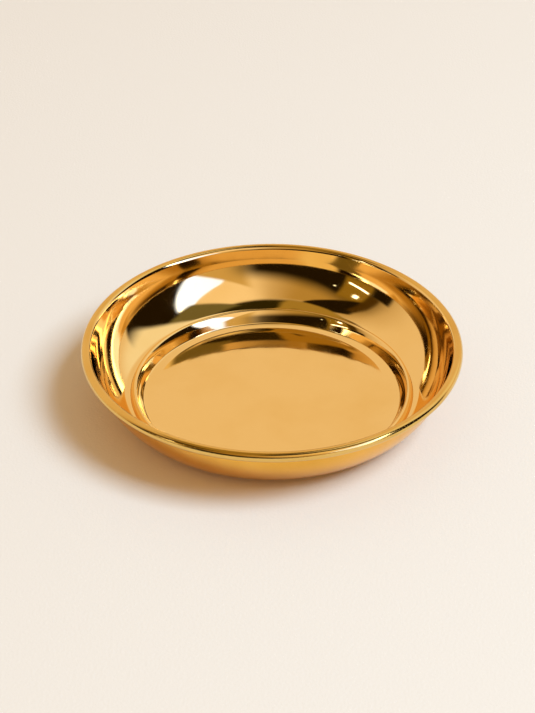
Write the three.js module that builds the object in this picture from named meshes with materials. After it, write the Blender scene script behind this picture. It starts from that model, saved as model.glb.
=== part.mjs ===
// A pooja plate: one disc of brass sheet, spun to a raised ring and a curved wall, and rolled over a wire at the rim.
// Millimetres, +Z up. The origin is on the table, on the plate's axis.
import * as THREE from "three";

// Overall sizes
const rimDiameter = 200; // over the rolled rim
const plateHeight = 36; // from the table to the top of the rim
const sheet = 1; // thickness of the brass

// Rolled rim and the wire in it
const wireDiameter = 2.6;
const wireClearance = 0.3; // between the wire and the sheet rolled over it
const curlGap = 0.5; // between the cut edge of the sheet and the wall that it curls back to
const wireButtGap = 1; // between the two ends of the wire

// Wall
const wallTopSlope = THREE.MathUtils.degToRad(77); // where the wall runs into the rim
const wallFootSlope = THREE.MathUtils.degToRad(36); // where the wall turns up out of the channel

// Channel between the wall and the ring round the floor
const channelWidth = 2.8; // from the groove out to the wall
const channelSlope = THREE.MathUtils.degToRad(6);
const channelInnerRadius = 5; // of the turn into the wall

// Groove at the foot of the ring's outer side
const grooveInset = 25.2; // from the rim's outer edge in to the groove
const grooveLift = 3.9; // groove above floor
const grooveInnerRadius = 0.3;

// Raised ring round the floor
const ringOuterWidth = 1.7; // from the groove in to the crest
const ringInnerWidth = 4.3; // from the crest in to the foot of the ring
const ringRise = 8.7; // crest above floor, before it is rounded
const ringFootLift = 0.9; // foot of the ring above floor
const ringTopSlope = THREE.MathUtils.degToRad(52); // inner side of the ring, below the crest
const ringFootSlope = THREE.MathUtils.degToRad(66.5); // inner side of the ring, above the foot
const ringCrestInnerRadius = 0.4;
const ringFootInnerRadius = 1;

// Floor, flat on both faces, with a gentle upsweep to the ring
const upsweepWidth = 4; // from the foot of the ring in to the flat floor
const upsweepInnerRadius = 10;

// Facets
const turns = 64; // flats round the plate
const upsweepSteps = 2;
const ringFootSteps = 3;
const ringSideSteps = 3;
const ringCrestSteps = 5;
const grooveSteps = 4;
const channelSteps = 3;
const wallSteps = 10;
const curlSteps = 13;
const wireSideCurves = 4; // pairs of flats round the wire

const brass = new THREE.MeshStandardMaterial({ color: 0xf0bd6c, roughness: 0.12, metalness: 1 });
const steel = new THREE.MeshStandardMaterial({ color: 0xb4b2ad, roughness: 0.4, metalness: 1 });

// The rolled rim, in radius and height along the middle of the sheet
const halfSheet = sheet / 2;
const rimRadius = rimDiameter / 2;
const curlRadius = wireDiameter / 2 + wireClearance + halfSheet;
const beadRadius = curlRadius + halfSheet;
const curlCentre = new THREE.Vector2(rimRadius - beadRadius, plateHeight - beadRadius);
const curlStart = Math.PI / 2 + wallTopSlope;
const wallTop = new THREE.Vector2(Math.cos(curlStart), Math.sin(curlStart))
  .multiplyScalar(curlRadius)
  .add(curlCentre);

function slope(start, end) {
  return Math.atan2(end.y - start.y, end.x - start.x);
}

// The corner where a line that leaves the start meets a line that reaches the end, each at its slope
function meet(start, startSlope, end, endSlope) {
  const leaving = new THREE.Vector2(Math.cos(startSlope), Math.sin(startSlope));
  const reaching = new THREE.Vector2(Math.cos(endSlope), Math.sin(endSlope));
  const run = end.clone().sub(start).cross(reaching) / leaving.cross(reaching);
  return start.clone().addScaledVector(leaving, run);
}

// The middle of the sheet runs from corner to corner, and each corner is rounded off by a bend.
const floorLine = halfSheet;
const floorMiddle = new THREE.Vector2(0, floorLine);
const groove = new THREE.Vector2(rimRadius - grooveInset, floorLine + grooveLift);
const ringCrest = new THREE.Vector2(groove.x - ringOuterWidth, floorLine + ringRise);
const ringFoot = new THREE.Vector2(ringCrest.x - ringInnerWidth, floorLine + ringFootLift);
const ringSide = meet(ringFoot, ringFootSlope, ringCrest, ringTopSlope);
const floorEdge = new THREE.Vector2(ringFoot.x - upsweepWidth, floorLine);
const channelEnd = new THREE.Vector2(
  groove.x + channelWidth,
  groove.y + channelWidth * Math.tan(channelSlope),
);
const wallCorner = meet(channelEnd, wallFootSlope, wallTop, wallTopSlope);

// A bend of the sheet at a corner. Its reach is how far from the corner it starts.
function bend(before, corner, after, radius, steps) {
  const slopeIn = slope(before, corner);
  const turn = slope(corner, after) - slopeIn;
  const side = Math.sign(turn);
  const reach = radius * Math.tan(Math.abs(turn) / 2);
  const from = slopeIn - (side * Math.PI) / 2;
  const centre = new THREE.Vector2(
    corner.x - reach * Math.cos(slopeIn) - radius * Math.cos(from),
    corner.y - reach * Math.sin(slopeIn) - radius * Math.sin(from),
  );
  return { centre, radius, from, to: from + turn, steps, reach };
}

// The widest bend that leaves room for the bends at the corners before and after it
function widestBend(before, reachBefore, corner, after, reachAfter, steps) {
  const room = Math.min(corner.distanceTo(before) - reachBefore, corner.distanceTo(after) - reachAfter);
  const turn = slope(corner, after) - slope(before, corner);
  return bend(before, corner, after, room / Math.tan(Math.abs(turn) / 2), steps);
}

const upsweepBend = bend(floorMiddle, floorEdge, ringFoot, upsweepInnerRadius + halfSheet, upsweepSteps);
const footBend = bend(floorEdge, ringFoot, ringSide, ringFootInnerRadius + halfSheet, ringFootSteps);
const crestBend = bend(ringSide, ringCrest, groove, ringCrestInnerRadius + halfSheet, ringCrestSteps);
const sideBend = widestBend(ringFoot, footBend.reach, ringSide, ringCrest, crestBend.reach, ringSideSteps);
const grooveBend = bend(ringCrest, groove, channelEnd, grooveInnerRadius + halfSheet, grooveSteps);
const channelBend = bend(groove, channelEnd, wallCorner, channelInnerRadius + halfSheet, channelSteps);
const wallBend = widestBend(channelEnd, channelBend.reach, wallCorner, wallTop, 0, wallSteps);

// The curl stops short of the wall, so the roll stays open underneath.
const curlOpen = Math.acos((curlRadius - halfSheet - curlGap) / beadRadius);
const curlEnd = curlStart - 2 * Math.PI + curlOpen;

const curl = { centre: curlCentre, radius: curlRadius, from: curlStart, to: curlEnd, steps: curlSteps };
const bends = [upsweepBend, footBend, sideBend, crestBend, grooveBend, channelBend, wallBend, curl];

// One face of the sheet, from the axis to the cut edge. A bend to the left is tighter on its upper face.
function sheetFace(aboveMiddle) {
  const face = [new THREE.Vector2(0, floorLine + aboveMiddle)];
  let last = null;
  for (const { centre, radius, from, to, steps } of bends) {
    const faceRadius = radius - Math.sign(to - from) * aboveMiddle;
    const arc = new THREE.EllipseCurve(centre.x, centre.y, faceRadius, faceRadius, from, to, to < from);
    const points = arc.getPoints(steps);
    const runsOn = last !== null && last.distanceTo(points[0]) < wireClearance / 10;
    face.push(...(runsOn ? points.slice(1) : points));
    last = points.at(-1);
  }
  return face;
}

function plateShell() {
  const underside = sheetFace(-halfSheet);
  const upperSide = sheetFace(halfSheet);
  const section = [...underside, ...upperSide.reverse()];
  const geometry = new THREE.LatheGeometry(section, turns).rotateX(Math.PI / 2);
  const mesh = new THREE.Mesh(geometry, brass);
  mesh.name = "plate_shell";
  return mesh;
}

// The middle line of the wire: nearly a full turn, open at the back of the plate.
class WireBend extends THREE.Curve {
  getPoint(share) {
    const halfGap = wireButtGap / 2 / curlCentre.x;
    const angle = Math.PI / 2 + THREE.MathUtils.lerp(halfGap, 2 * Math.PI - halfGap, share);
    return new THREE.Vector3(
      curlCentre.x * Math.cos(angle),
      curlCentre.x * Math.sin(angle),
      curlCentre.y,
    );
  }
}

function rimWire() {
  const section = new THREE.Shape().absarc(0, 0, wireDiameter / 2, 0, 2 * Math.PI);
  const geometry = new THREE.ExtrudeGeometry(section, {
    steps: turns,
    curveSegments: wireSideCurves,
    extrudePath: new WireBend(),
  });
  const mesh = new THREE.Mesh(geometry, steel);
  mesh.name = "rim_wire";
  return mesh;
}

const plate = new THREE.Group();
plate.add(plateShell(), rimWire());

export default plate;
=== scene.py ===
"""A polished brass pooja plate.

One spun sheet, with a raised ring round its floor and a rim rolled over a wire.
"""
import math
from typing import NamedTuple

import bmesh
import bpy
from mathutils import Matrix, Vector


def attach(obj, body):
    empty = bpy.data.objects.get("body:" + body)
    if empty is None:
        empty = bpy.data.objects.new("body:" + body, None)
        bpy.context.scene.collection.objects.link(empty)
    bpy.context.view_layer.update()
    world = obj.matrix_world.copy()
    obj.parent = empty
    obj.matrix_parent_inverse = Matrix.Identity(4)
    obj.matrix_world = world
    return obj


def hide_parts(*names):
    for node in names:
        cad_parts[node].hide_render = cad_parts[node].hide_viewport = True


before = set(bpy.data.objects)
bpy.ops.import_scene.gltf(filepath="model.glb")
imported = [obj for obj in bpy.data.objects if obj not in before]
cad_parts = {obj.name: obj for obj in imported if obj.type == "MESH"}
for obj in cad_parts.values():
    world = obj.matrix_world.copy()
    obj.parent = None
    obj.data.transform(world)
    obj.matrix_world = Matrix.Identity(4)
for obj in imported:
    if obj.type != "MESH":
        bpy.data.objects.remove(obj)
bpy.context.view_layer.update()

bl_info = {
    "name": "Pooja Plate",
    "version": (1, 0, 0),
    "blender": (4, 5, 0),
    "location": "View3D > Sidebar > Plate",
    "description": "Builds a spun brass pooja plate with a rolled rim, and a studio to look at it in",
    "category": "Add Mesh",
}

MM = 0.001
UP = Vector((0, 0, 1))
SAME_POINT = 0.001 * MM

# How finely the curves are cut
TURNS = 256  # flats round the plate
BEND_STEP = math.radians(4)  # along a bend of the sheet
LEAST_BEND_STEPS = 3
WIRE_SIDES = 24
SMOOTH_ANGLE = math.radians(40)  # edges that turn less than this shade as one surface

# Rings of the mesh on the flat floor, as shares of its radius. The last two keep the bend at the floor's edge
# from shading the mirror inside it.
FLOOR_RINGS = (0.1, 0.5, 0.98, 0.995)

# The shell's finishes, in the order of its materials
INSIDE, OUTSIDE, RIM = range(3)
OUTSIDE_ROUGHNESS = (0.16, 0.26)
RIM_ROUGHNESS = (0.1, 0.18)
RIM_POLISH_REACH = 0.8  # inwards from the middle of the curl, as a share of the curl's radius

# Cut ends of the wire
CUT_BEVEL = 0.1 * MM
CUT_ANGLE = math.radians(60)

# Sockets of a Mix node that mixes colours
MIX_FIRST = 6
MIX_SECOND = 7
MIX_RESULT = 2


def linear(hex_colour):
    """An sRGB hex colour as linear red, green, blue."""
    shares = [int(hex_colour[i:i + 2], 16) / 255 for i in (1, 3, 5)]
    return tuple(s / 12.92 if s <= 0.04045 else ((s + 0.055) / 1.055) ** 2.4 for s in shares)


def length(name, millimetres, description):
    return bpy.props.FloatProperty(
        name=name, description=description, default=millimetres * MM, min=0, precision=4, unit="LENGTH"
    )


def slope(name, degrees, description):
    return bpy.props.FloatProperty(
        name=name, description=description, default=math.radians(degrees), subtype="ANGLE"
    )


def colour(name, hex_colour, description):
    return bpy.props.FloatVectorProperty(
        name=name, description=description, default=linear(hex_colour), size=3, min=0, max=1, subtype="COLOR"
    )


class PlateSizes(bpy.types.PropertyGroup):
    """Sizes of the sheet and of the rolled rim."""

    rim_diameter: length("Rim diameter", 200, "Over the rolled rim")
    height: length("Height", 36, "From the table to the top of the rim")
    sheet: length("Sheet", 1, "Thickness of the brass")
    wire_diameter: length("Wire", 2.6, "Diameter of the wire that the rim is rolled over")
    wire_clearance: length("Wire clearance", 0.3, "Between the wire and the sheet rolled over it")
    wire_butt_gap: length("Wire butt gap", 1, "Between the two ends of the wire")
    curl_gap: length("Curl gap", 0.5, "Between the cut edge of the sheet and the wall")
    wall_top_slope: slope("Wall slope at the top", 77, "Where the wall runs into the rim")
    wall_foot_slope: slope("Wall slope at the foot", 36, "Where the wall turns up out of the channel")
    channel_width: length("Channel", 2.8, "From the groove out to the wall")
    channel_slope: slope("Channel slope", 6, "Bottom of the channel between the ring and the wall")
    channel_radius: length("Channel bend", 5, "Inside radius of the turn into the wall")
    groove_inset: length("Groove inset", 25.2, "From the rim's outer edge in to the groove")
    groove_lift: length("Groove lift", 3.9, "Groove above floor")
    groove_radius: length("Groove bend", 0.3, "Inside radius of the groove")
    ring_outer_width: length("Ring, outer width", 1.7, "From the groove in to the crest")
    ring_inner_width: length("Ring, inner width", 4.3, "From the crest in to the foot of the ring")
    ring_rise: length("Ring rise", 8.7, "Crest above floor, before it is rounded")
    ring_foot_lift: length("Ring foot lift", 0.9, "Foot of the ring above floor")
    ring_top_slope: slope("Ring slope at the top", 52, "Inner side of the ring, below the crest")
    ring_foot_slope: slope("Ring slope at the foot", 66.5, "Inner side of the ring, above the foot")
    ring_crest_radius: length("Ring crest bend", 0.4, "Inside radius of the crest")
    ring_foot_radius: length("Ring foot bend", 1, "Inside radius of the foot")
    upsweep_width: length("Upsweep", 4, "From the foot of the ring in to the flat floor")
    upsweep_radius: length("Upsweep bend", 10, "Inside radius of the upsweep")


class PlateFinish(bpy.types.PropertyGroup):
    """Colours of the metals and of the table."""

    brass: colour("Brass", "#F6D795", "Freshly polished yellow brass")
    tarnish: colour("Tarnish", "#F2D089", "Where handling has begun to darken the polish")
    buffed: colour("Buffed brass", "#F4BC52", "Underside, buffed on the lathe and not polished")
    dulled: colour("Dulled brass", "#E4AA3C", "Where the underside has darkened")
    rim: colour("Rim brass", "#E8C270", "Rim, polished by hand over the buffing")
    worn_rim: colour("Worn rim brass", "#DDB259", "Where fingers have darkened the rim")
    wire: colour("Wire", "#B4B2AD", "Drawn steel wire")
    table: colour("Table", "#F7EEE4", "Cream paper that the plate stands on")


def add_node(tree, kind, inputs=None, **settings):
    """Adds a node with its settings, and sets or links its inputs."""
    node = tree.nodes.new(kind)
    for name, value in settings.items():
        setattr(node, name, value)
    for socket, value in (inputs or {}).items():
        if isinstance(value, bpy.types.NodeSocket):
            tree.links.new(value, node.inputs[socket])
        else:
            node.inputs[socket].default_value = value
    return node


def new_material(name):
    """A material with an empty node tree."""
    material = bpy.data.materials.new(name)
    material.use_nodes = True
    material.node_tree.nodes.clear()
    return material


def opaque(rgb):
    return (*rgb, 1)


def mirror_polished_brass(finish):
    """Yellow brass, spun and then polished with cloth mops.

    The eye sees a mirror with a yellow cast. The spinning tool leaves rings too shallow to feel, which only
    make edges in the reflections waver, and the mop leaves faint clouds of softer gloss.
    """
    material = new_material("Mirror polished brass")
    tree = material.node_tree
    place = add_node(tree, "ShaderNodeTexCoord").outputs["Object"]
    flat = add_node(tree, "ShaderNodeVectorMath", {0: place, 1: (1, 1, 0)}, operation="MULTIPLY")
    radius = add_node(tree, "ShaderNodeVectorMath", {0: flat.outputs[0]}, operation="LENGTH").outputs["Value"]

    # Spinning rings are about 5 mm apart and a few micrometres high.
    rings = add_node(
        tree, "ShaderNodeTexNoise", {"W": radius, "Scale": 1 / (5 * MM), "Detail": 1.0}, noise_dimensions="1D"
    )
    ring_bump = add_node(
        tree, "ShaderNodeBump", {"Height": rings.outputs[0], "Strength": 1.0, "Distance": 0.012 * MM}
    )
    # Hand planishing of the disc leaves swells about 18 mm across.
    swells = add_node(tree, "ShaderNodeTexNoise", {"Vector": place, "Scale": 1 / (18 * MM), "Detail": 1.0})
    swell_bump = add_node(
        tree,
        "ShaderNodeBump",
        {"Height": swells.outputs[0], "Strength": 1.0, "Distance": 0.05 * MM, "Normal": ring_bump.outputs[0]},
    )
    # Clouds from the mop are about 9 mm across.
    clouds = add_node(tree, "ShaderNodeTexNoise", {"Vector": place, "Scale": 1 / (9 * MM), "Detail": 3.0})
    gloss = add_node(
        tree,
        "ShaderNodeMapRange",
        {"Value": clouds.outputs[0], "From Min": 0.35, "From Max": 0.75, "To Min": 0.04, "To Max": 0.085},
    )
    # Handling darkens patches about 35 mm across.
    patches = add_node(tree, "ShaderNodeTexNoise", {"Vector": place, "Scale": 1 / (35 * MM), "Detail": 4.0})
    dulled = add_node(
        tree, "ShaderNodeMapRange", {"Value": patches.outputs[0], "From Min": 0.45, "From Max": 0.8}
    )
    shade = add_node(
        tree,
        "ShaderNodeMix",
        {
            "Factor": dulled.outputs[0],
            MIX_FIRST: opaque(finish.brass),
            MIX_SECOND: opaque(finish.tarnish),
        },
        data_type="RGBA",
    )
    metal = add_node(
        tree,
        "ShaderNodeBsdfPrincipled",
        {
            "Base Color": shade.outputs[MIX_RESULT],
            "Metallic": 1.0,
            "Roughness": gloss.outputs[0],
            "Normal": swell_bump.outputs[0],
        },
    )
    add_node(tree, "ShaderNodeOutputMaterial", {"Surface": metal.outputs[0]})
    return material


def buffed_brass(name, clean, worn, roughness):
    """Yellow brass as it comes off the lathe, buffed once, and on the rim once more by hand.

    The eye sees a soft gloss, drawn out by fine turned lines that run round the plate.
    """
    material = new_material(name)
    tree = material.node_tree
    place = add_node(tree, "ShaderNodeTexCoord").outputs["Object"]
    flat = add_node(tree, "ShaderNodeVectorMath", {0: place, 1: (1, 1, 0)}, operation="MULTIPLY")
    radius = add_node(tree, "ShaderNodeVectorMath", {0: flat.outputs[0]}, operation="LENGTH").outputs["Value"]
    height = add_node(tree, "ShaderNodeSeparateXYZ", {0: place}).outputs[2]
    along = add_node(tree, "ShaderNodeMath", {0: radius, 1: height}, operation="ADD").outputs[0]

    # Turned lines are about 0.2 mm apart, too fine to show from here, so they are drawn 0.7 mm apart.
    lines = add_node(
        tree,
        "ShaderNodeTexNoise",
        {"W": along, "Scale": 1 / (0.7 * MM), "Detail": 2.0},
        noise_dimensions="1D",
    )
    line_bump = add_node(
        tree, "ShaderNodeBump", {"Height": lines.outputs[0], "Strength": 1.0, "Distance": 0.012 * MM}
    )
    gloss = add_node(
        tree,
        "ShaderNodeMapRange",
        {
            "Value": lines.outputs[0],
            "From Min": 0.3,
            "From Max": 0.7,
            "To Min": roughness[0],
            "To Max": roughness[1],
        },
    )
    # Handling darkens patches about 30 mm across.
    patches = add_node(tree, "ShaderNodeTexNoise", {"Vector": place, "Scale": 1 / (30 * MM), "Detail": 4.0})
    wear = add_node(
        tree, "ShaderNodeMapRange", {"Value": patches.outputs[0], "From Min": 0.4, "From Max": 0.8}
    )
    shade = add_node(
        tree,
        "ShaderNodeMix",
        {"Factor": wear.outputs[0], MIX_FIRST: opaque(clean), MIX_SECOND: opaque(worn)},
        data_type="RGBA",
    )
    metal = add_node(
        tree,
        "ShaderNodeBsdfPrincipled",
        {
            "Base Color": shade.outputs[MIX_RESULT],
            "Metallic": 1.0,
            "Roughness": gloss.outputs[0],
            "Normal": line_bump.outputs[0],
        },
    )
    add_node(tree, "ShaderNodeOutputMaterial", {"Surface": metal.outputs[0]})
    return material


def drawn_steel_wire(finish):
    """Mild steel wire, drawn through a die.

    The eye sees a dull grey gloss with fine streaks along the wire.
    """
    material = new_material("Drawn steel wire")
    tree = material.node_tree
    place = add_node(tree, "ShaderNodeTexCoord").outputs["Object"]
    height = add_node(tree, "ShaderNodeSeparateXYZ", {0: place}).outputs[2]
    # Die streaks are about 0.15 mm apart.
    streaks = add_node(
        tree,
        "ShaderNodeTexNoise",
        {"W": height, "Scale": 1 / (0.15 * MM), "Detail": 1.0},
        noise_dimensions="1D",
    )
    gloss = add_node(
        tree,
        "ShaderNodeMapRange",
        {"Value": streaks.outputs[0], "From Min": 0.3, "From Max": 0.7, "To Min": 0.3, "To Max": 0.45},
    )
    metal = add_node(
        tree,
        "ShaderNodeBsdfPrincipled",
        {"Base Color": opaque(finish.wire), "Metallic": 1.0, "Roughness": gloss.outputs[0]},
    )
    add_node(tree, "ShaderNodeOutputMaterial", {"Surface": metal.outputs[0]})
    return material


def cream_paper(finish):
    """Uncoated background paper.

    The eye sees a matt cream with a very slight tooth.
    """
    material = new_material("Cream paper")
    tree = material.node_tree
    place = add_node(tree, "ShaderNodeTexCoord").outputs["Object"]
    # Paper tooth is about 0.3 mm, too fine to show from here, so it is drawn at 1.5 mm.
    tooth = add_node(tree, "ShaderNodeTexNoise", {"Vector": place, "Scale": 1 / (1.5 * MM), "Detail": 3.0})
    bump = add_node(
        tree, "ShaderNodeBump", {"Height": tooth.outputs[0], "Strength": 1.0, "Distance": 0.15 * MM}
    )
    paper = add_node(
        tree,
        "ShaderNodeBsdfPrincipled",
        {
            "Base Color": opaque(finish.table),
            "Roughness": 0.9,
            "Specular IOR Level": 0.2,
            "Normal": bump.outputs[0],
        },
    )
    add_node(tree, "ShaderNodeOutputMaterial", {"Surface": paper.outputs[0]})
    return material


class Bend:
    """A rounded corner of the sheet's middle line, in radius and height."""

    def __init__(self, before, corner, after, radius):
        way_in = (corner - before).normalized()
        way_out = (after - corner).normalized()
        slope_in = math.atan2(way_in.y, way_in.x)
        self.turn = math.atan2(way_out.y, way_out.x) - slope_in
        self.radius = radius
        self.reach = radius * math.tan(abs(self.turn) / 2)
        self.start = slope_in - math.copysign(math.pi / 2, self.turn)
        spoke = Vector((math.cos(self.start), math.sin(self.start)))
        self.centre = corner - way_in * self.reach - spoke * radius

    def points(self):
        steps = max(LEAST_BEND_STEPS, math.ceil(abs(self.turn) / BEND_STEP))
        angles = [self.start + self.turn * i / steps for i in range(steps + 1)]
        return [self.centre + Vector((math.cos(a), math.sin(a))) * self.radius for a in angles]


def widest_bend(before, reach_before, corner, after, reach_after):
    """The widest bend that leaves room for the bends at the corners before and after it."""
    room = min((corner - before).length - reach_before, (after - corner).length - reach_after)
    turn = (corner - before).angle(after - corner)
    return Bend(before, corner, after, room / math.tan(turn / 2))


def meet(start, start_slope, end, end_slope):
    """The corner where a line that leaves the start meets a line that reaches the end, each at its slope."""
    leaving = Vector((math.cos(start_slope), math.sin(start_slope)))
    reaching = Vector((math.cos(end_slope), math.sin(end_slope)))
    return start + leaving * ((end - start).cross(reaching) / leaving.cross(reaching))


def curl_circle(sizes):
    """Centre and radius of the rolled rim, along the middle of the sheet."""
    radius = sizes.wire_diameter / 2 + sizes.wire_clearance + sizes.sheet / 2
    bead = radius + sizes.sheet / 2
    return Vector((sizes.rim_diameter / 2 - bead, sizes.height - bead)), radius


def sheet_line(sizes):
    """The middle of the sheet from the flat floor out to the cut edge, as points in radius and height."""
    half = sizes.sheet / 2
    curl_centre, curl_radius = curl_circle(sizes)
    curl_start = math.pi / 2 + sizes.wall_top_slope
    wall_top = curl_centre + Vector((math.cos(curl_start), math.sin(curl_start))) * curl_radius

    floor_middle = Vector((0, half))
    groove = Vector((sizes.rim_diameter / 2 - sizes.groove_inset, half + sizes.groove_lift))
    crest = Vector((groove.x - sizes.ring_outer_width, half + sizes.ring_rise))
    foot = Vector((crest.x - sizes.ring_inner_width, half + sizes.ring_foot_lift))
    side = meet(foot, sizes.ring_foot_slope, crest, sizes.ring_top_slope)
    floor_edge = Vector((foot.x - sizes.upsweep_width, half))
    channel_end = groove + Vector((1, math.tan(sizes.channel_slope))) * sizes.channel_width
    wall_corner = meet(channel_end, sizes.wall_foot_slope, wall_top, sizes.wall_top_slope)

    upsweep_bend = Bend(floor_middle, floor_edge, foot, sizes.upsweep_radius + half)
    foot_bend = Bend(floor_edge, foot, side, sizes.ring_foot_radius + half)
    crest_bend = Bend(side, crest, groove, sizes.ring_crest_radius + half)
    side_bend = widest_bend(foot, foot_bend.reach, side, crest, crest_bend.reach)
    groove_bend = Bend(crest, groove, channel_end, sizes.groove_radius + half)
    channel_bend = Bend(groove, channel_end, wall_corner, sizes.channel_radius + half)
    wall_bend = widest_bend(channel_end, channel_bend.reach, wall_corner, wall_top, 0)

    line = []
    for bend in (upsweep_bend, foot_bend, side_bend, crest_bend, groove_bend, channel_bend, wall_bend):
        line += bend.points()
    curl_open = math.acos((curl_radius - half - sizes.curl_gap) / (curl_radius + half))
    curl_turn = 2 * math.pi - curl_open
    curl_steps = math.ceil(curl_turn / BEND_STEP)
    for i in range(curl_steps + 1):
        angle = curl_start - curl_turn * i / curl_steps
        line.append(curl_centre + Vector((math.cos(angle), math.sin(angle))) * curl_radius)
    return line


def start_piece():
    """Leaves edit mode and selects nothing, so that the next operators act on the new piece alone."""
    if bpy.context.object and bpy.context.object.mode != "OBJECT":
        bpy.ops.object.mode_set(mode="OBJECT")
    bpy.ops.object.select_all(action="DESELECT")


def select_rings(mesh, radius_from, radius_to):
    """In edit mode, selects the vertices between two radii from the plate's axis, and no others."""
    edit = bmesh.from_edit_mesh(mesh)
    for vertex in edit.verts:
        vertex.select_set(radius_from <= vertex.co.xy.length <= radius_to)
    edit.select_flush_mode()
    edit.select_flush(True)
    bmesh.update_edit_mesh(mesh)


def spin_sheet(context, rings):
    """Extrudes a circle from ring to ring, closes its middle and turns its upper face outwards."""
    first = rings[0]
    start_piece()
    bpy.ops.mesh.primitive_circle_add(
        vertices=TURNS, radius=first.x, fill_type="NOTHING", location=(0, 0, first.y)
    )
    sheet = context.object
    bpy.ops.object.transform_apply(location=True, rotation=True, scale=True)
    bpy.ops.object.mode_set(mode="EDIT")
    bpy.ops.mesh.select_mode(type="EDGE")
    bpy.ops.mesh.select_all(action="SELECT")
    last = first
    for ring in rings[1:]:
        if (ring - last).length < SAME_POINT:
            continue
        bpy.ops.mesh.extrude_edges_move(TRANSFORM_OT_translate={"value": (0, 0, ring.y - last.y)})
        grow = ring.x / last.x
        bpy.ops.transform.resize(value=(grow, grow, 1), center_override=(0, 0, 0))
        last = ring
    bpy.ops.mesh.select_mode(type="VERT")
    select_rings(sheet.data, 0, first.x + SAME_POINT)
    bpy.ops.mesh.edge_face_add()
    bpy.ops.mesh.select_all(action="SELECT")
    bpy.ops.mesh.remove_doubles(threshold=SAME_POINT)
    bpy.ops.mesh.normals_make_consistent(inside=False)
    bpy.ops.object.mode_set(mode="OBJECT")
    floor_face = min(sheet.data.polygons, key=lambda face: face.center.xy.length)
    if floor_face.normal.z < 0:
        bpy.ops.object.mode_set(mode="EDIT")
        bpy.ops.mesh.flip_normals()
        bpy.ops.object.mode_set(mode="OBJECT")
    return sheet


class PLATE_OT_shell(bpy.types.Operator):
    """Spin the brass shell: floor, ring, wall and rolled rim"""

    bl_idname = "plate.shell"
    bl_label = "Plate Shell"

    def execute(self, context):
        sizes = context.scene.plate_sizes
        finish = context.scene.plate_finish
        line = sheet_line(sizes)
        floor_edge = line[0]
        floor_rings = [Vector((floor_edge.x * share, floor_edge.y)) for share in FLOOR_RINGS]
        shell = spin_sheet(context, floor_rings + line)
        shell.name = "brass_shell"

        shell.data.materials.append(mirror_polished_brass(finish))
        shell.data.materials.append(
            buffed_brass("Buffed brass", finish.buffed, finish.dulled, OUTSIDE_ROUGHNESS)
        )
        shell.data.materials.append(buffed_brass("Rim brass", finish.rim, finish.worn_rim, RIM_ROUGHNESS))
        wall = shell.modifiers.new("Sheet", "SOLIDIFY")
        wall.thickness = sizes.sheet
        wall.offset = 0
        wall.use_even_offset = True
        wall.material_offset = OUTSIDE
        wall.material_offset_rim = OUTSIDE
        bpy.ops.object.modifier_apply(modifier=wall.name)
        bpy.ops.object.shade_smooth_by_angle(angle=SMOOTH_ANGLE)
        if not any(face.material_index == OUTSIDE for face in shell.data.polygons):
            raise RuntimeError("the sheet has no underside")
        # The mirror polish stops at the rim.
        rim_centre, rim_radius = curl_circle(sizes)
        for face in shell.data.polygons:
            if face.center.xy.length > rim_centre.x - rim_radius * RIM_POLISH_REACH:
                face.material_index = RIM

        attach(shell, "root")
        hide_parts("plate_shell")
        return {"FINISHED"}


class PLATE_OT_wire(bpy.types.Operator):
    """Bend the wire that the rim is rolled over"""

    bl_idname = "plate.wire"
    bl_label = "Rim Wire"

    def execute(self, context):
        sizes = context.scene.plate_sizes
        finish = context.scene.plate_finish
        centre, _ = curl_circle(sizes)
        half_gap = sizes.wire_butt_gap / 2 / centre.x
        start = math.pi / 2 + half_gap

        start_piece()
        bpy.ops.mesh.primitive_circle_add(
            vertices=WIRE_SIDES,
            radius=sizes.wire_diameter / 2,
            fill_type="NGON",
            location=(centre.x * math.cos(start), centre.x * math.sin(start), centre.y),
            rotation=(math.pi / 2, 0, start),
        )
        wire = context.object
        wire.name = "steel_wire"
        bpy.ops.object.transform_apply(location=True, rotation=True, scale=True)
        bpy.ops.object.mode_set(mode="EDIT")
        bpy.ops.mesh.select_all(action="SELECT")
        bpy.ops.mesh.spin(
            steps=TURNS, angle=2 * (math.pi - half_gap), center=(0, 0, 0), axis=UP, use_auto_merge=False
        )
        bpy.ops.mesh.select_all(action="SELECT")
        bpy.ops.mesh.remove_doubles(threshold=SAME_POINT)
        bpy.ops.mesh.normals_make_consistent(inside=False)
        bpy.ops.object.mode_set(mode="OBJECT")
        ends = [face for face in wire.data.polygons if len(face.vertices) == WIRE_SIDES]
        if len(ends) != 2:
            raise RuntimeError(f"the wire has {len(ends)} closed ends")

        wire.data.materials.append(drawn_steel_wire(finish))
        bevel = wire.modifiers.new("Cut ends", "BEVEL")
        bevel.width = CUT_BEVEL
        bevel.limit_method = "ANGLE"
        bevel.angle_limit = CUT_ANGLE
        bpy.ops.object.modifier_apply(modifier=bevel.name)
        bpy.ops.object.shade_smooth_by_angle(angle=SMOOTH_ANGLE)

        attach(wire, "root")
        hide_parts("rim_wire")
        return {"FINISHED"}


def direction(azimuth, elevation):
    """The way to a point of the studio. Azimuth turns from straight behind the plate to the right of it."""
    a = math.radians(azimuth)
    e = math.radians(elevation)
    return Vector((math.sin(a) * math.cos(e), math.cos(a) * math.cos(e), math.sin(e)))


class Fitting(NamedTuple):
    """Something in the studio that the brass mirrors: a soft-edged patch of the surroundings, in degrees."""

    azimuth: tuple  # from, to
    elevation: tuple  # from, to
    soft: tuple  # width of the soft edges, across and upright
    colour: str
    level: float = 1.0
    lean: float = 0.0  # azimuth gained for each degree of elevation
    rake: float = 0.0  # elevation gained for each degree of azimuth


STUDIO_WALLS = "#F5D8B2"
ROOM_LIGHT = "#C4AA85"  # evened out, as matt surfaces get it
DAYLIGHT = "#CBE7FF"
BLUE_DAYLIGHT = "#A8BCFF"  # looks white in the yellow metal
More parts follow.
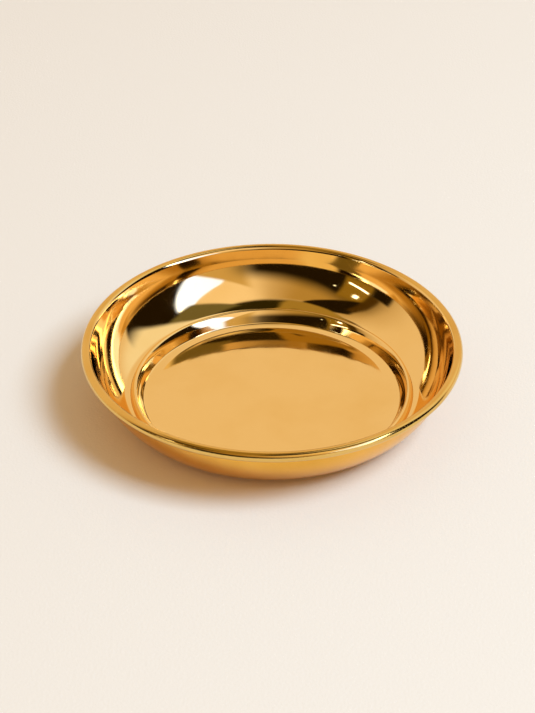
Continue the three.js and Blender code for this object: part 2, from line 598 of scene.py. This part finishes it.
# Painted over each other in this order
STUDIO_FITTINGS = {
    "ceiling": Fitting((-190, 190), (61, 119), (1, 6), "#302707"),
    "lit side of the ceiling": Fitting((-168, 10), (64, 120), (14, 6), "#AA893F"),
    "lit wall behind on the right": Fitting((38, 80), (20, 80), (32, 20), "#FFF3E2", 1.03),
    "brown wall in front on the left": Fitting((-180, -94), (-20, 60.5), (48, 6), "#BC9652"),
    "glow round the softbox": Fitting((118, 168), (8, 60.5), (24, 6), "#FFE4C3", 1.06),
    "softbox": Fitting((108, 150), (2, 36), (3, 3), BLUE_DAYLIGHT, 3.5, lean=-0.6, rake=-0.55),
    "tube in the softbox": Fitting((111, 119), (20, 36), (2, 3), "#FFFFFF", 8, lean=-0.6, rake=-0.55),
    "grey curtain": Fitting((80, 129), (41, 66), (8, 5), "#766C45", lean=1.13),
    "panelling behind the camera": Fitting((124, 164), (-20, 18), (10, 6), "#D9B576", rake=1.1),
    "foot of the brown wall": Fitting((-200, -104), (-20, 33), (26, 24), "#211604", rake=0.3),
    "dark cabinet": Fitting((68, 119), (-20, 44), (5, 5), "#211604", lean=-0.6),
    "wall before the cabinet": Fitting((50, 87), (20, 80), (8, 20), "#FFF3E2", 1.03, lean=0.4),
    "dark doorway": Fitting((-175, -133), (-20, 21), (4, 8), "#211604", rake=0.6),
    "niche of the lamps": Fitting((-132, -112), (4, 38), (4, 10), "#957327"),
    "dark screen": Fitting((-150, -101), (42, 72), (4, 4), "#211604", lean=0.45, rake=-0.75),
    "cornice over the dark screen": Fitting((-165, -95), (61, 75), (10, 3), "#AA893F"),
    "post beside the lamps": Fitting((-112, -104), (18, 50), (4, 6), "#4A3206"),
    "foot of the post": Fitting((-111, -97), (-20, 18), (4, 4), "#211604"),
    "lamp": Fitting((-121.3, -117.7), (27, 31), (2, 2), "#FFFFFF", 6),
    "tube lamp": Fitting((-129, -114), (14, 16), (2, 1.5), "#FFFFFF", 5, rake=0.25),
    "small lamp": Fitting((-137.6, -136.4), (23.4, 24.6), (1.2, 1.2), "#FFFFFF", 4),
}


def cover_of(fitting, tree, azimuth, elevation):
    """How far a fitting covers what is painted before it, from 0 to 1, by the way that a ray goes."""
    ends = (fitting.azimuth, fitting.elevation)
    middle = [math.radians(last + first) / 2 for first, last in ends]
    half = [math.radians(last - first) / 2 for first, last in ends]
    turn = add_node(tree, "ShaderNodeMath", {0: azimuth, 1: middle[0]}, operation="SUBTRACT")
    across = add_node(
        tree, "ShaderNodeMath", {0: turn.outputs[0], 1: math.pi, 2: -math.pi}, operation="WRAP"
    ).outputs[0]
    upright = add_node(
        tree, "ShaderNodeMath", {0: elevation, 1: middle[1]}, operation="SUBTRACT"
    ).outputs[0]
    leaned = add_node(
        tree, "ShaderNodeMath", {0: upright, 1: -fitting.lean, 2: across}, operation="MULTIPLY_ADD"
    )
    raked = add_node(
        tree, "ShaderNodeMath", {0: across, 1: -fitting.rake, 2: upright}, operation="MULTIPLY_ADD"
    )
    covers = []
    for off, reach, soft in zip((leaned, raked), half, fitting.soft):
        blur = math.radians(soft) / 2
        distance = add_node(tree, "ShaderNodeMath", {0: off.outputs[0]}, operation="ABSOLUTE")
        inside = add_node(
            tree,
            "ShaderNodeMapRange",
            {
                "Value": distance.outputs[0],
                "From Min": reach - blur,
                "From Max": reach + blur,
                "To Min": 1.0,
                "To Max": 0.0,
            },
            interpolation_type="SMOOTHSTEP",
        )
        covers.append(inside.outputs[0])
    return add_node(tree, "ShaderNodeMath", {0: covers[0], 1: covers[1]}, operation="MULTIPLY").outputs[0]


def paint_studio(finish):
    """The studio round the plate, as a world that the brass mirrors."""
    world = bpy.data.worlds.new("Studio")
    world.use_nodes = True
    tree = world.node_tree
    tree.nodes.clear()
    way = add_node(tree, "ShaderNodeTexCoord").outputs["Generated"]
    parts = add_node(tree, "ShaderNodeSeparateXYZ", {0: way}).outputs
    azimuth = add_node(tree, "ShaderNodeMath", {0: parts["X"], 1: parts["Y"]}, operation="ARCTAN2").outputs[0]
    elevation = add_node(tree, "ShaderNodeMath", {0: parts["Z"]}, operation="ARCSINE").outputs[0]
    walls = add_node(tree, "ShaderNodeRGB")
    walls.outputs[0].default_value = opaque(linear(STUDIO_WALLS))
    picture = walls.outputs[0]
    for name, fitting in STUDIO_FITTINGS.items():
        shade = [share * fitting.level for share in linear(fitting.colour)]
        cover = cover_of(fitting, tree, azimuth, elevation)
        painted = add_node(
            tree,
            "ShaderNodeMix",
            {"Factor": cover, MIX_FIRST: picture, MIX_SECOND: opaque(shade)},
            data_type="RGBA",
            label=name,
        )
        picture = painted.outputs[MIX_RESULT]
    # The brass mirrors the studio, and matt surfaces get its even light.
    ray = add_node(tree, "ShaderNodeLightPath").outputs
    mirrored = add_node(
        tree,
        "ShaderNodeMath",
        {0: ray["Is Glossy Ray"], 1: ray["Diffuse Depth"]},
        operation="SUBTRACT",
        use_clamp=True,
    )
    lit = add_node(
        tree,
        "ShaderNodeMix",
        {"Factor": mirrored.outputs[0], MIX_FIRST: opaque(linear(ROOM_LIGHT)), MIX_SECOND: picture},
        data_type="RGBA",
    )
    # Past the table, the camera sees plain cream.
    shown = add_node(
        tree,
        "ShaderNodeMix",
        {
            "Factor": ray["Is Camera Ray"],
            MIX_FIRST: lit.outputs[MIX_RESULT],
            MIX_SECOND: opaque(finish.table),
        },
        data_type="RGBA",
    )
    light = add_node(tree, "ShaderNodeBackground", {"Color": shown.outputs[MIX_RESULT], "Strength": 1.0})
    add_node(tree, "ShaderNodeOutputWorld", {"Surface": light.outputs[0]})
    return world


# Stage, in metres, watts and millimetres of lens
TABLE_WIDTH = 6
KEY_AZIMUTH = 113
KEY_ELEVATION = 52
KEY_DISTANCE = 4
KEY_WIDTH = 1.8
KEY_POWER = 158
CAMERA_PLACE = Vector((-0.00229, -0.8708, 0.6206))
CAMERA_TILT = math.radians(55.67)  # up from straight down
CAMERA_LENS = 101
CAMERA_SENSOR = 36
CAMERA_NEAREST = 0.01


class PLATE_OT_stage(bpy.types.Operator):
    """Lay the table and set up the studio light and the camera"""

    bl_idname = "plate.stage"
    bl_label = "Table, Light and Camera"

    def execute(self, context):
        finish = context.scene.plate_finish
        scene = context.scene
        scene.view_settings.view_transform = "Standard"
        scene.world = paint_studio(finish)

        start_piece()
        bpy.ops.mesh.primitive_plane_add(size=TABLE_WIDTH, location=(0, 0, 0))
        table = context.object
        table.name = "table"
        table.data.materials.append(cream_paper(finish))

        key_way = direction(KEY_AZIMUTH, KEY_ELEVATION)
        bpy.ops.object.light_add(
            type="AREA",
            location=key_way * KEY_DISTANCE,
            rotation=key_way.to_track_quat("Z", "Y").to_euler(),
        )
        key = context.object
        key.name = "key light"
        key.data.shape = "SQUARE"
        key.data.size = KEY_WIDTH
        key.data.energy = KEY_POWER
        key.data.color = linear(DAYLIGHT)
        key.visible_glossy = False

        bpy.ops.object.camera_add(location=CAMERA_PLACE, rotation=(CAMERA_TILT, 0, 0))
        camera = context.object
        camera.name = "camera"
        camera.data.sensor_width = CAMERA_SENSOR
        camera.data.lens = CAMERA_LENS
        camera.data.clip_start = CAMERA_NEAREST
        scene.camera = camera
        return {"FINISHED"}


class PLATE_PT_panel(bpy.types.Panel):
    """The plate's sizes, colours and pieces"""

    bl_label = "Pooja Plate"
    bl_idname = "PLATE_PT_panel"
    bl_space_type = "VIEW_3D"
    bl_region_type = "UI"
    bl_category = "Plate"

    def draw(self, context):
        for group in (context.scene.plate_sizes, context.scene.plate_finish):
            box = self.layout.box()
            for name in group.__annotations__:
                box.prop(group, name)
        for operator in OPERATORS:
            self.layout.operator(operator.bl_idname)


OPERATORS = (PLATE_OT_shell, PLATE_OT_wire, PLATE_OT_stage)
CLASSES = (PlateSizes, PlateFinish, *OPERATORS, PLATE_PT_panel)


def register():
    for cls in CLASSES:
        bpy.utils.register_class(cls)
    bpy.types.Scene.plate_sizes = bpy.props.PointerProperty(type=PlateSizes)
    bpy.types.Scene.plate_finish = bpy.props.PointerProperty(type=PlateFinish)


def unregister():
    del bpy.types.Scene.plate_finish
    del bpy.types.Scene.plate_sizes
    for cls in reversed(CLASSES):
        bpy.utils.unregister_class(cls)


def main():
    register()
    bpy.ops.plate.shell()
    bpy.ops.plate.wire()
    bpy.ops.plate.stage()


if __name__ == "__main__":
    main()
